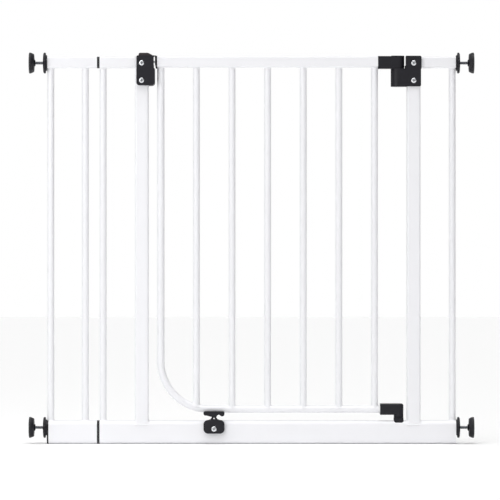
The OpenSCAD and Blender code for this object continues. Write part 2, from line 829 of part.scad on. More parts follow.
module knob(side, z) color(black_plastic) at_side(side) {
    lobes = 10;
    difference() {
        translate([knob_x, 0, z]) rotate([0, 90, 0]) rotate_extrude() polygon([
            [0, 0], [knob_hub_d / 2, 0], [knob_hub_d / 2, knob_hub_t], [knob_d / 2 - 1, knob_hub_t],
            [knob_d / 2, knob_hub_t + 1], [knob_d / 2, knob_t - 2], [knob_d / 2 - 2, knob_t - 0.8],
            [8, knob_t], [0, knob_t]]);
        rod_x(knob_x - 1, knob_x + knob_t + 1, z, rod_bore_r);
        for (i = [0:lobes - 1]) translate([knob_x - 1, 0, z]) rotate([360 / lobes * (i + 0.5), 0, 0])
            translate([0, knob_d / 2 + 3, 0]) rotate([0, 90, 0]) cylinder(r = 4.2, h = knob_t + 2);
    }
}

module pad_cup(side, z) color(black_plastic) at_side(side) {
    difference() {
        translate([pad_back_x, 0, z]) rotate([0, 90, 0]) rotate_extrude() polygon([
            [0, -cup_boss_t], [rod_r + 2.5, -cup_boss_t], [rod_r + 4.5, 0], [cup_small_d / 2, 0],
            [pad_d / 2 - 0.5, cup_t - 1.5], [pad_d / 2 - 0.5, cup_t], [0, cup_t]]);
        rod_x(pad_back_x - cup_boss_t - 1, rod_end_x, z, rod_r);
    }
}

module pad_face(side, z) color(rubber_black) at_side(side) {
    translate([pad_back_x + cup_t, 0, z]) rotate([0, 90, 0]) rotate_extrude()
        polygon([[0, 0], [pad_d / 2, 0], [pad_d / 2, face_t - 0.6], [pad_d / 2 - 0.6, face_t], [0, face_t]]);
}

module left_upper_rod() rod(-1, upper_spindle_z);
module left_upper_pad_cup() pad_cup(-1, upper_spindle_z);
module left_upper_pad_face() pad_face(-1, upper_spindle_z);
module left_upper_knob() knob(-1, upper_spindle_z);
module left_lower_rod() rod(-1, lower_spindle_z);
module left_lower_pad_cup() pad_cup(-1, lower_spindle_z);
module left_lower_pad_face() pad_face(-1, lower_spindle_z);
module left_lower_knob() knob(-1, lower_spindle_z);
module right_upper_rod() rod(1, upper_spindle_z);
module right_upper_pad_cup() pad_cup(1, upper_spindle_z);
module right_upper_pad_face() pad_face(1, upper_spindle_z);
module right_upper_knob() knob(1, upper_spindle_z);
module right_lower_rod() rod(1, lower_spindle_z);
module right_lower_pad_cup() pad_cup(1, lower_spindle_z);
module right_lower_pad_face() pad_face(1, lower_spindle_z);
module right_lower_knob() knob(1, lower_spindle_z);

base_rail();
left_outer_bar();
left_post();
right_post();
right_outer_bar();
left_top_rail();
right_top_rail();
extension_base_rail();
extension_top_rail();
extension_outer_bar();
extension_inner_bar();
joint_spacers();
joint_bushes();
joint_studs();
post_plugs();
left_end_cap();
right_end_cap();
spindle_bushes();
latch_housing_front();
latch_housing_back();
latch_screws();
latch_spring();
latch_slide();
hinge_bracket();
hinge_bracket_back();
hinge_screws();
clamp_nuts();
lower_hinge_foot();
hinge_pins();
stop_block();
stop_screw();
stop_lever();
door_top_rail();
door_bent_tube();
door_bar(1);  // door_bar_1
door_bar(2);  // door_bar_2
door_bar(3);  // door_bar_3
door_bar(4);  // door_bar_4
door_bar(5);  // door_bar_5
door_bar(6);  // door_bar_6
door_latch_cap();
door_latch_nose();
upper_hinge_arm();
lower_hinge_elbow();
left_upper_rod();
left_upper_pad_cup();
left_upper_pad_face();
left_upper_knob();
left_lower_rod();
left_lower_pad_cup();
left_lower_pad_face();
left_lower_knob();
right_upper_rod();
right_upper_pad_cup();
right_upper_pad_face();
right_upper_knob();
right_lower_rod();
right_lower_pad_cup();
right_lower_pad_face();
right_lower_knob();
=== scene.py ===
import json
import math

import bmesh
import bpy
from mathutils import Matrix, Vector


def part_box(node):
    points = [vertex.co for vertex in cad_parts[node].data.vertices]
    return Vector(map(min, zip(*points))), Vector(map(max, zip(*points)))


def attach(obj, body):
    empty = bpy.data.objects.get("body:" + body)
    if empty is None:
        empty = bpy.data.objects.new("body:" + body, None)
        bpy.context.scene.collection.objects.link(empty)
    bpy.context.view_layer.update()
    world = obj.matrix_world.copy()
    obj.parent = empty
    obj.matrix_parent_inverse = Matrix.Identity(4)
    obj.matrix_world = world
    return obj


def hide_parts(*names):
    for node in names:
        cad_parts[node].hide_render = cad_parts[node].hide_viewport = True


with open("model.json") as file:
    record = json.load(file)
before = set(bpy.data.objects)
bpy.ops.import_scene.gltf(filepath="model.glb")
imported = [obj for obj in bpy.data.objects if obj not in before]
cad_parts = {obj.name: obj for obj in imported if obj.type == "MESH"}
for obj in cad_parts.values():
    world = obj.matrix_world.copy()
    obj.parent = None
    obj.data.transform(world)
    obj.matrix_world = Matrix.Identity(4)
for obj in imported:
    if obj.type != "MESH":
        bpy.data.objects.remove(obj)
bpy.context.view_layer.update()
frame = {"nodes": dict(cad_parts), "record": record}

bl_info = {
    "name": "Safety Gate",
    "version": (1, 0, 0),
    "blender": (4, 5, 0),
    "location": "3D View > Sidebar > Gate",
    "description": "Finishes a pressure-fit safety gate: coated steel, mouldings, threads and welds",
    "category": "Object",
}

MM = 0.001
BODY_OF = {node: body for body, nodes in frame["record"]["behaviour"]["bodies"].items()
           for node in nodes}
SLOT_OF = {row["node"]: row["material_slot"] for row in frame["record"]["subparts"]}
CORNERS = ("left_upper", "left_lower", "right_upper", "right_lower")
DOOR_BARS = tuple(f"door_bar_{n}" for n in range(1, 7))


def centre(node):
    """Middle of a node's box."""
    low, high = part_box(node)
    return (low + high) / 2


def size(node):
    """Lengths of a node's box along X, Y and Z."""
    low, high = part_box(node)
    return high - low


# ---------------------------------------------------------------- sizes and colours


class GateSizes(bpy.types.PropertyGroup):
    """Sizes of the details that finish the gate"""

    thread_pitch: bpy.props.FloatProperty(
        name="Thread pitch",
        description="Distance from one thread crest to the next on the spindles",
        default=0.001, min=0.0005, max=0.002, subtype="DISTANCE", unit="LENGTH")
    thread_depth: bpy.props.FloatProperty(
        name="Thread depth", description="Depth of the spindle thread below its crest",
        default=0.0006, min=0.0002, max=0.001, subtype="DISTANCE", unit="LENGTH")
    weld_leg: bpy.props.FloatProperty(
        name="Weld size", description="Width of the weld fillets round the bars and posts",
        default=0.0024, min=0.0005, max=0.004, subtype="DISTANCE", unit="LENGTH")
    large_edge: bpy.props.FloatProperty(
        name="Large moulded edge",
        description="Rounding of the outer edges on the biggest fittings",
        default=0.0013, min=0.0002, max=0.003, subtype="DISTANCE", unit="LENGTH")
    small_edge: bpy.props.FloatProperty(
        name="Small moulded edge", description="Rounding of the outer edges on the small fittings",
        default=0.0006, min=0.0001, max=0.002, subtype="DISTANCE", unit="LENGTH")
    screw_edge: bpy.props.FloatProperty(
        name="Screw edge", description="Rounding of the screw heads' edges",
        default=0.00015, min=0.00005, max=0.0005, subtype="DISTANCE", unit="LENGTH")
    grip_rib: bpy.props.FloatProperty(
        name="Grip rib height", description="Height of the ribs on the thumb slide",
        default=0.0006, min=0.0002, max=0.001, subtype="DISTANCE", unit="LENGTH")


class GateColours(bpy.types.PropertyGroup):
    """Colours of the gate's finishes, as sRGB hex values"""

    powder_coat: bpy.props.StringProperty(
        name="Powder coat", description="Colour of the coated steel tubes", default="F0F0F3")
    black_plastic: bpy.props.StringProperty(
        name="Black plastic", description="Colour of the moulded fittings", default="121119")
    # The thumb slide's lighter brown-grey is partly painted highlight: a brownish plastic, lifted to
    # stand for the light its top catches from above.
    thumb_plastic: bpy.props.StringProperty(
        name="Thumb slide", description="Colour of the latch's thumb slide", default="3C3436")
    white_plastic: bpy.props.StringProperty(
        name="White plastic", description="Colour of the caps in the tube ends", default="F1F1F4")
    rubber: bpy.props.StringProperty(
        name="Rubber", description="Colour of the pad faces and the spacers", default="222225")
    zinc: bpy.props.StringProperty(
        name="Zinc plate",
        description="Colour of the screws, the pins and the door's nose",
        default="E2E4E7")
    spindle: bpy.props.StringProperty(
        name="Spindles",
        description="Colour of the rolled threads, dull with grease",
        default="8A8C91")
    spring_wire: bpy.props.StringProperty(
        name="Spring wire", description="Colour of the latch spring", default="A9ACB0")
    floor: bpy.props.StringProperty(
        name="Floor", description="Colour of the floor", default="FFFFFF")


class GateStage(bpy.types.PropertyGroup):
    """Floor, lights and camera"""

    camera_distance: bpy.props.FloatProperty(
        name="Camera distance", description="Distance of the camera from the gate",
        default=6.37, min=0.5, max=20, subtype="DISTANCE", unit="LENGTH")
    camera_height: bpy.props.FloatProperty(
        name="Camera height", description="Height of the camera above the floor",
        default=0.370, min=0, max=3, subtype="DISTANCE", unit="LENGTH")
    camera_side: bpy.props.FloatProperty(
        name="Camera side", description="Distance of the camera to the right of the gate's middle",
        default=-0.0029, min=-1, max=1, subtype="DISTANCE", unit="LENGTH")
    focal_length: bpy.props.FloatProperty(
        name="Focal length", description="Focal length of the camera in millimetres",
        default=240.0, min=20, max=600)
    key_power: bpy.props.FloatProperty(
        name="Key light", description="Power of the soft panel at the front left, in watts",
        default=12.0, min=0, max=500)
    overhead: bpy.props.FloatProperty(
        name="Overhead light",
        description="Strength of the broad light from above, in watts a square metre",
        default=1.85, min=0, max=10)
    room_front: bpy.props.FloatProperty(
        name="Room light, front",
        description="Strength of the room light from in front, behind and above",
        default=0.60, min=0, max=3)
    room_side: bpy.props.FloatProperty(
        name="Room light, sides", description="Strength of the room light from the two sides",
        default=0.06, min=0, max=3)


# ---------------------------------------------------------------- materials


def colour(text):
    """Linear RGBA of an sRGB hex value."""
    channels = [int(text[i:i + 2], 16) / 255 for i in (0, 2, 4)]
    linear = [c / 12.92 if c <= 0.04045 else ((c + 0.055) / 1.055) ** 2.4 for c in channels]
    return (*linear, 1.0)


def add(tree, kind, settings=None, links=None):
    """One node with its settings; an input takes a value or another node's output."""
    made = tree.nodes.new(kind)
    for key, value in (settings or {}).items():
        setattr(made, key, value)
    for key, value in (links or {}).items():
        if isinstance(value, bpy.types.NodeSocket):
            tree.links.new(value, made.inputs[key])
        else:
            made.inputs[key].default_value = value
    return made


def new_material(name):
    """An empty node material and its tree."""
    made = bpy.data.materials.new(name)
    made.use_nodes = True
    made.node_tree.nodes.clear()
    return made, made.node_tree


def two_tone(tree, position, grain, hex_value, change):
    """A colour that drifts by a small share from place to place, over grain metres."""
    base = Vector(colour(hex_value)[:3])
    drift = add(tree, "ShaderNodeTexNoise", {"noise_dimensions": "3D"},
                {"Vector": position, "Scale": 1 / grain, "Detail": 3.0, "Roughness": 0.5})
    ramp = add(tree, "ShaderNodeValToRGB", None, {"Fac": drift.outputs["Fac"]})
    ramp.color_ramp.elements[0].position = 0.35
    ramp.color_ramp.elements[1].position = 0.65
    ramp.color_ramp.elements[0].color = (*(base * (1 - change)), 1)
    ramp.color_ramp.elements[1].color = (*[min(1, c) for c in base * (1 + change)], 1)
    return ramp.outputs["Color"]


def roughness_range(tree, position, grain, low, high):
    """A roughness that wanders between low and high over grain metres."""
    noise = add(tree, "ShaderNodeTexNoise", {"noise_dimensions": "3D"},
                {"Vector": position, "Scale": 1 / grain, "Detail": 2.0})
    spread = add(tree, "ShaderNodeMapRange", None,
                 {"Value": noise.outputs["Fac"], "From Min": 0.3, "From Max": 0.7,
                  "To Min": low, "To Max": high})
    return spread.outputs["Result"]


def finish_shader(made, tree, links, height=None, depth=0.0, strength=1.0):
    """The surface shader, with a bump where a height is given."""
    if height is not None:
        bump = add(tree, "ShaderNodeBump", None,
                   {"Height": height, "Distance": depth, "Strength": strength})
        links = {**links, "Normal": bump.outputs["Normal"]}
    shader = add(tree, "ShaderNodeBsdfPrincipled", None, links)
    add(tree, "ShaderNodeOutputMaterial", None, {"Surface": shader.outputs["BSDF"]})
    return made


def powder_coated_steel(hex_value):
    """Polyester powder baked on steel tube."""
    made, tree = new_material("powder_coated_steel")
    place = add(tree, "ShaderNodeTexCoord").outputs["Object"]
    # Baked powder flows into a soft orange peel about 2 mm across. It is drawn 5 mm wide here, so
    # that the faint ripple in its gloss shows from across a room.
    peel = add(tree, "ShaderNodeTexNoise", {"noise_dimensions": "3D"},
               {"Vector": place, "Scale": 1 / 0.005, "Detail": 2.0, "Roughness": 0.45})
    return finish_shader(made, tree, {
        "Base Color": two_tone(tree, place, 0.12, hex_value, 0.006),
        "Roughness": roughness_range(tree, place, 0.03, 0.33, 0.35),
        "IOR": 1.5, "Coat Weight": 0.25, "Coat Roughness": 0.12,
    }, peel.outputs["Fac"], depth=0.00004, strength=0.2)


def moulded_plastic(name, hex_value, grain, low, high, depth):
    """Injection-moulded plastic from a tool with a spark-eroded grain."""
    made, tree = new_material(name)
    place = add(tree, "ShaderNodeTexCoord").outputs["Object"]
    # A spark-eroded tool leaves pits a few tenths of a millimetre wide, which break up the shine.
    # They are drawn about 1 mm wide, so that the surface still reads as grained from a step away.
    pits = add(tree, "ShaderNodeTexVoronoi", {"feature": "F1"},
               {"Vector": place, "Scale": 1 / grain, "Randomness": 1.0})
    haze = add(tree, "ShaderNodeTexNoise", {"noise_dimensions": "3D"},
               {"Vector": place, "Scale": 1 / (grain * 2.5), "Detail": 4.0})
    height = add(tree, "ShaderNodeMath", {"operation": "MULTIPLY"}, {0: pits.outputs["Distance"],
                                                                    1: haze.outputs["Fac"]})
    return finish_shader(made, tree, {
        "Base Color": two_tone(tree, place, 0.02, hex_value, 0.06),
        "Roughness": roughness_range(tree, place, 0.006, low, high),
        "IOR": 1.5, "Specular IOR Level": 0.35,
    }, height.outputs["Value"], depth=depth, strength=0.5)


def moulded_rubber(name, hex_value):
    """Compression-moulded rubber, with a dull, slightly dusty skin."""
    made, tree = new_material(name)
    place = add(tree, "ShaderNodeTexCoord").outputs["Object"]
    # Rubber shows no clear highlight, only a soft bloom. The skin's fine crumb is drawn 1.5 mm
    # wide.
    crumb = add(tree, "ShaderNodeTexNoise", {"noise_dimensions": "3D"},
                {"Vector": place, "Scale": 1 / 0.0015, "Detail": 5.0, "Roughness": 0.65})
    return finish_shader(made, tree, {
        "Base Color": two_tone(tree, place, 0.012, hex_value, 0.12),
        "Roughness": roughness_range(tree, place, 0.008, 0.72, 0.88),
        "IOR": 1.52, "Sheen Weight": 0.15, "Sheen Roughness": 0.6,
    }, crumb.outputs["Fac"], depth=0.00012, strength=0.5)


def zinc_plated_steel(name, hex_value, low, high):
    """Bright zinc plate on drawn and rolled steel."""
    made, tree = new_material(name)
    place = add(tree, "ShaderNodeTexCoord").outputs["Object"]
    # Plating keeps the drawing marks under it, which smear the shine along the rod. They are a
    # few hundredths of a millimetre apart, and are drawn 0.5 mm apart and 12 mm long.
    stretch = add(tree, "ShaderNodeMapping", {"vector_type": "POINT"}, {"Vector": place})
    stretch.inputs["Scale"].default_value = (0.04, 1.0, 1.0)
    marks = add(tree, "ShaderNodeTexNoise", {"noise_dimensions": "3D"},
                {"Vector": stretch.outputs["Vector"], "Scale": 1 / 0.0005, "Detail": 3.0})
    return finish_shader(made, tree, {
        "Base Color": two_tone(tree, place, 0.008, hex_value, 0.05),
        "Metallic": 1.0,
        "Roughness": roughness_range(tree, place, 0.004, low, high),
    }, marks.outputs["Fac"], depth=0.00002, strength=0.3)


def painted_recess_shade(hex_value):
    """The bottom of a screw's cross recess, in a darker grey that is painted shade."""
    made, tree = new_material("screw_recess_painted_shade")
    place = add(tree, "ShaderNodeTexCoord").outputs["Object"]
    # Plating hardly reaches the bottom of a recess, so the surface there is rougher and less
    # metallic. Its darker grey is painted shade, for the shadow that the recess holds.
    return finish_shader(made, tree, {
        "Base Color": two_tone(tree, place, 0.001, hex_value, 0.3),
        "Metallic": 0.4, "Roughness": roughness_range(tree, place, 0.001, 0.5, 0.7),
    })


def matt_floor(hex_value):
    """A smooth painted floor."""
    made, tree = new_material("painted_floor")
    place = add(tree, "ShaderNodeTexCoord").outputs["Object"]
    # Matt paint scatters light evenly; only its roughness wanders a little, over a hand's width.
    return finish_shader(made, tree, {
        "Base Color": colour(hex_value),
        "Roughness": roughness_range(tree, place, 0.1, 0.75, 0.85),
        "Specular IOR Level": 0.2,
    })


def finishes():
    """Every finish of the gate by the record's slot, made once."""
    hues = bpy.context.scene.gate_colours
    if "powder_coated_steel" not in bpy.data.materials:
        powder_coated_steel(hues.powder_coat)
        moulded_plastic("moulded_polyamide", hues.black_plastic,
                        grain=0.001, low=0.40, high=0.52, depth=0.00010)
        # the thumb slide's colour holds a painted highlight from above
        moulded_plastic("moulded_thumb_slide_painted_highlight", hues.thumb_plastic,
                        grain=0.001, low=0.34, high=0.46, depth=0.00008)
        moulded_plastic("moulded_white_cap", hues.white_plastic,
                        grain=0.0015, low=0.34, high=0.42, depth=0.00003)
        moulded_rubber("moulded_rubber", hues.rubber)
        moulded_rubber("moulded_spacer", hues.rubber)
        zinc_plated_steel("bright_zinc_plate", hues.zinc, low=0.18, high=0.30)
        zinc_plated_steel("greased_thread", hues.spindle, low=0.30, high=0.44)
        zinc_plated_steel("drawn_spring_wire", hues.spring_wire, low=0.28, high=0.40)
        # the screw recesses' painted shade, in the spindles' grey
        painted_recess_shade(hues.spindle)
    names = {
        "white_steel": "powder_coated_steel", "black_plastic": "moulded_polyamide",
        "thumb_plastic": "moulded_thumb_slide_painted_highlight", "white_plastic": "moulded_white_cap",
        "black_rubber": "moulded_spacer", "rubber": "moulded_rubber",
        "zinc_steel": "bright_zinc_plate", "spring_steel": "drawn_spring_wire",
    }
    return {slot: bpy.data.materials[name] for slot, name in names.items()}


# ---------------------------------------------------------------- making pieces


def give_finish(obj, slot):
    """Puts a slot's finish on an object in place of what it had."""
    obj.data.materials.clear()
    obj.data.materials.append(finishes()[slot])


def coat_nodes(nodes):
    """Gives CAD nodes the finish of their own slots."""
    for node in nodes:
        give_finish(frame["nodes"][node], SLOT_OF[node])


def piece_from(bm, name, body, slot, replaced=(), sharp=35):
    """A finished, closed piece that rides on a body."""
    if any(not edge.is_manifold for edge in bm.edges):
        raise RuntimeError(f"{name} isn't closed")
    mesh = bpy.data.meshes.new(name)
    bm.to_mesh(mesh)
    bm.free()
    mesh.shade_smooth()
    mesh.set_sharp_from_angle(angle=math.radians(sharp))
    obj = bpy.data.objects.new(name, mesh)
    bpy.context.scene.collection.objects.link(obj)
    give_finish(obj, slot)
    weigh = obj.modifiers.new("even_shading", "WEIGHTED_NORMAL")
    weigh.keep_sharp = True
    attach(obj, body)
    if replaced:
        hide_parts(*replaced)
    return obj


def clean_copy(node):
    """A CAD node's shape as joined faces, with its flat areas whole."""
    bm = bmesh.new()
    bm.from_mesh(frame["nodes"][node].data)
    bmesh.ops.remove_doubles(bm, verts=bm.verts, dist=0.002 * MM)
    bmesh.ops.dissolve_degenerate(bm, edges=bm.edges, dist=0.002 * MM)
    bmesh.ops.dissolve_limit(bm, angle_limit=math.radians(0.6), verts=bm.verts, edges=bm.edges,
                             use_dissolve_boundaries=False, delimit={"NORMAL"})
    return bm


def round_edges(bm, width, steps=2, angle=38):
    """Rounds every edge where two faces meet at more than the angle."""
    edges = [e for e in bm.edges if e.is_manifold and e.calc_face_angle(0) > math.radians(angle)]
    bmesh.ops.bevel(bm, geom=edges, offset=width, offset_type="OFFSET", segments=steps, profile=0.5,
                    affect="EDGES", clamp_overlap=True, material=-1, loop_slide=True)


def moulded(node, width, steps=2):
    """A fitting with the rounded edges that a mould gives it, in place of its node."""
    bm = clean_copy(node)
    round_edges(bm, width, steps)
    return piece_from(bm, f"{node}_moulded", BODY_OF[node], SLOT_OF[node], (node,))


# ---------------------------------------------------------------- tubes and welds


class GATE_OT_tubes(bpy.types.Operator):
    """Coats the frame, the extension and the door's tubes"""

    bl_idname = "gate.tubes"
    bl_label = "Coated tubes"

    def execute(self, context):
        coat_nodes(node for node, slot in SLOT_OF.items()
                   if slot in ("white_steel", "white_plastic"))
        return {"FINISHED"}


# Shapes of the tubes that the welds follow, in metres: the rounding of each tube's section, and
# the radius at which the axis of the door's long tube bends.
BASE_EDGE = 0.009
POST_CORNER = 0.004
RAIL_CORNER = 0.0035
DOOR_BEND = 0.091

BASE_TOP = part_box("base_rail")[1]

# A weld's section, out from the bar and up from the rail, in shares of the weld's size. The two
# negative heights are buried in the rail.
WELD_SECTION = ((0.0, 1.0), (0.22, 0.45), (0.5, 0.2), (1.0, 0.0), (0.6, -0.5), (-0.4, -0.3))
WELD_STEPS = 64
SMALL_WELD = 0.8  # the welds under the top rails and on the door, against those on the base rail
THIN_WELD = 0.5  # the welds where the short rails meet the posts
WELD_TO_END = 0.0005  # left free between a weld and the end of its rail


def base_crest(y):
    """Height of the base rail's rounded top at a distance y from its middle."""
    nearly_side = BASE_TOP.y * 0.995
    over = max(0.0, min(abs(y), nearly_side) - (BASE_TOP.y - BASE_EDGE))
    return BASE_TOP.z - BASE_EDGE + math.sqrt(BASE_EDGE ** 2 - over ** 2)


def rail_ends(bar, rail):
    """How far a bar's weld may run along a rail, to each side of the bar, before the rail ends."""
    low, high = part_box(rail)
    return low.x + WELD_TO_END - centre(bar).x, high.x - WELD_TO_END - centre(bar).x


def fillet_ring(bm, width, depth, corner, leg, surface, turn=Matrix.Identity(4), ends=(-1.0, 1.0)):
    """A weld fillet round a bar or post whose outline is centred on the axis that turn places.
    surface(x, y) is the height, along that axis, of the face that the bar stands on. The fillet
    is cut off flat at the two ends."""
    half_step = Matrix.Rotation(math.pi / WELD_STEPS, 4, "Z")
    rings = []
    for out, up in WELD_SECTION:
        ring = bmesh.ops.create_circle(bm, cap_ends=False, radius=1.0, segments=WELD_STEPS,
                                       matrix=half_step)["verts"]
        for vert in ring:
            along, across = vert.co.x, vert.co.y
            r = corner + out * leg
            x = math.copysign(width / 2 - corner, along) + r * along
            y = math.copysign(depth / 2 - corner, across) + r * across
            vert.co = (min(max(x, ends[0]), ends[1]), y, surface(x, y) + up * leg)
        rings.append([e for e in {edge for v in ring for edge in v.link_edges}
                      if all(v in ring for v in e.verts)])
        for vert in ring:
            vert.co = turn @ vert.co
    for one, other in zip(rings, rings[1:] + rings[:1]):
        bmesh.ops.bridge_loops(bm, edges=one + other)


class GATE_OT_frame_welds(bpy.types.Operator):
    """Makes the weld fillets of the main frame and the extension"""

    bl_idname = "gate.frame_welds"
    bl_label = "Frame welds"

    def execute(self, context):
        leg = context.scene.gate_sizes.weld_leg
        upside_down = Matrix.Rotation(math.pi, 4, "X")
        bm = bmesh.new()
        # each bar stands on its base rail and meets its top rail from below
        for node, rail, top_rail in (
            ("extension_outer_bar", "extension_base_rail", "extension_top_rail"),
            ("extension_inner_bar", "extension_base_rail", "extension_top_rail"),
            ("left_outer_bar", "base_rail", "left_top_rail"),
            ("right_outer_bar", "base_rail", "right_top_rail"),
        ):
            d, x_mid, under = size(node).y, centre(node).x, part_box(top_rail)[0].z
            fillet_ring(bm, d, d, d / 2, leg, lambda x, y: base_crest(y),
                        Matrix.Translation((x_mid, 0, 0)), rail_ends(node, rail))
            fillet_ring(bm, d, d, d / 2, leg * SMALL_WELD, lambda x, y: 0.0,
                        Matrix.Translation((x_mid, 0, under)) @ upside_down,
                        rail_ends(node, top_rail))
        for node in ("left_post", "right_post"):
            span = size(node)
            fillet_ring(bm, span.x, span.y, POST_CORNER, leg, lambda x, y: base_crest(y),
                        Matrix.Translation((centre(node).x, 0, 0)))
        # the short rails meet the outer faces of the posts
        for node, post, side in (("left_top_rail", "left_post", -1),
                                 ("right_top_rail", "right_post", 1)):
            low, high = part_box(node)
            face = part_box(post)[0 if side < 0 else 1].x
            quarter = Matrix.Rotation(side * math.pi / 2, 4, "Y")
            place = Matrix.Translation((face, 0, (low.z + high.z) / 2)) @ quarter
            fillet_ring(bm, high.z - low.z, high.y - low.y, RAIL_CORNER, leg * THIN_WELD,
                        lambda x, y: 0.0, place)
        bmesh.ops.recalc_face_normals(bm, faces=bm.faces)
        piece_from(bm, "frame_welds", "frame", "white_steel", sharp=80)
        return {"FINISHED"}


class GATE_OT_door_welds(bpy.types.Operator):
    """Makes the weld fillets where the door's bars meet its rails"""

    bl_idname = "gate.door_welds"
    bl_label = "Door welds"

    def execute(self, context):
        leg = context.scene.gate_sizes.weld_leg * SMALL_WELD
        upside_down = Matrix.Rotation(math.pi, 4, "X")
        low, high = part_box("door_bent_tube")
        tube_r = size("door_bent_tube").y / 2
        axis_z, left = low.z + tube_r, low.x + tube_r
        bend = DOOR_BEND
        nearly_side = tube_r * 0.97
        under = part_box("door_top_rail")[0].z
        bm = bmesh.new()

        def on_tube(bar_x):
            """Height of the long tube's top near a bar, where it may already be bending up."""
            def height(x, y):
                run = max(0.0, left + bend - (bar_x + x))
                rise = bend - math.sqrt(bend * bend - run * run)
                reach = min(abs(y), nearly_side)
                slope = math.cos(math.asin(run / bend))
                return axis_z + rise + math.sqrt(tube_r ** 2 - reach ** 2) / slope
            return height

        for node in DOOR_BARS:
            x, d = centre(node).x, size(node).y
            fillet_ring(bm, d, d, d / 2, leg, on_tube(x), Matrix.Translation((x, 0, 0)))
            fillet_ring(bm, d, d, d / 2, leg, lambda x, y: 0.0,
                        Matrix.Translation((x, 0, under)) @ upside_down)
        fillet_ring(bm, 2 * tube_r, 2 * tube_r, tube_r, leg, lambda x, y: 0.0,
                    Matrix.Translation((left, 0, under)) @ upside_down)
        bmesh.ops.recalc_face_normals(bm, faces=bm.faces)
        piece_from(bm, "door_welds", "door", "white_steel", sharp=80)
        return {"FINISHED"}


# ---------------------------------------------------------------- fittings


class GATE_OT_latch(bpy.types.Operator):
    """Makes the latch housing, its thumb slide with its ribs, and the door's end cap"""

    bl_idname = "gate.latch"
    bl_label = "Latch"

    def execute(self, context):
        sizes = context.scene.gate_sizes
        moulded("latch_housing_front", sizes.large_edge, 3)
        moulded("latch_housing_back", sizes.large_edge, 3)
        moulded("door_latch_cap", sizes.small_edge)
        moulded("latch_slide", sizes.small_edge)
        coat_nodes(("latch_spring", "door_latch_nose"))
        self.grip_ribs(sizes)
        return {"FINISHED"}

    def grip_ribs(self, sizes):
        """Rounded ribs across the top of the thumb slide."""
        low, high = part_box("latch_slide")
        count, spacing, first = 4, 0.0032, 0.006
        width, length, sunk = 0.0014, 0.0135, 0.0003
        bm = bmesh.new()
        for n in range(count):
            x = low.x + first + n * spacing
            made = bmesh.ops.create_cube(bm, size=1.0, matrix=Matrix.Translation(
                (x, 0, high.z - sunk)) @ Matrix.Diagonal((width, length, 2 * sizes.grip_rib, 1)))
            edges = list({e for v in made["verts"] for e in v.link_edges})
            bmesh.ops.bevel(bm, geom=edges, offset=width * 0.35, offset_type="OFFSET", segments=3,
                            profile=0.5, affect="EDGES", clamp_overlap=True, material=-1)
        piece_from(bm, "thumb_slide_ribs", "latch_slide", "thumb_plastic", sharp=50)


class GATE_OT_hinges(bpy.types.Operator):
    """Makes the hinge bracket, the door's arm and the lower hinge's elbow and foot"""

    bl_idname = "gate.hinges"
    bl_label = "Hinges"

    def execute(self, context):
        sizes = context.scene.gate_sizes
        moulded("hinge_bracket", sizes.small_edge, 3)
        moulded("hinge_bracket_back", sizes.small_edge, 3)
        moulded("upper_hinge_arm", sizes.small_edge, 3)
        moulded("lower_hinge_elbow", sizes.large_edge, 3)
        moulded("lower_hinge_foot", sizes.small_edge)
        coat_nodes(("hinge_pins",))
        return {"FINISHED"}


class GATE_OT_door_stop(bpy.types.Operator):
    """Makes the door stop's block and its turning lever"""

    bl_idname = "gate.door_stop"
    bl_label = "Door stop"

    def execute(self, context):
        sizes = context.scene.gate_sizes
        moulded("stop_block", sizes.small_edge)
        moulded("stop_lever", sizes.small_edge, 3)
        return {"FINISHED"}


class GATE_OT_inserts(bpy.types.Operator):
    """Gives the end caps, spacers, plugs, studs and nuts in the tubes their finishes"""

    bl_idname = "gate.inserts"
    bl_label = "Caps, spacers and bushes"

    def execute(self, context):
        coat_nodes(("joint_bushes", "spindle_bushes", "joint_spacers", "left_end_cap",
                    "right_end_cap", "joint_studs", "clamp_nuts"))
        return {"FINISHED"}


class GATE_OT_screws(bpy.types.Operator):
    """Makes the cross-head screws"""

    bl_idname = "gate.screws"
    bl_label = "Screws"

    def execute(self, context):
        edge = context.scene.gate_sizes.screw_edge
        for node in ("latch_screws", "hinge_screws", "stop_screw"):
            self.paint_recess_shade(moulded(node, edge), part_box(node)[0])
        return {"FINISHED"}

    def paint_recess_shade(self, screws, low):
        """Gives the walls and bottoms of the cross recesses their painted shade, a darker material.
        """
        head_r = 5 * MM
        recess_r = 0.62 * head_r
        top, bottom = low.y + 0.35 * MM, low.y + 2.2 * MM
        rows = sorted({round(v.co.z, 5) for v in screws.data.vertices})
        middles = [rows[0] + head_r, rows[-1] - head_r]
        # the recess faces get a second material, whose darker grey is painted shade
        screws.data.materials.append(bpy.data.materials["screw_recess_painted_shade"])
        for face in screws.data.polygons:
            off_axis = min(math.hypot(face.center.x - low.x - head_r, face.center.z - z)
                           for z in middles)
            if top < face.center.y < bottom and off_axis < recess_r:
                face.material_index = 1


# ---------------------------------------------------------------- wall pads


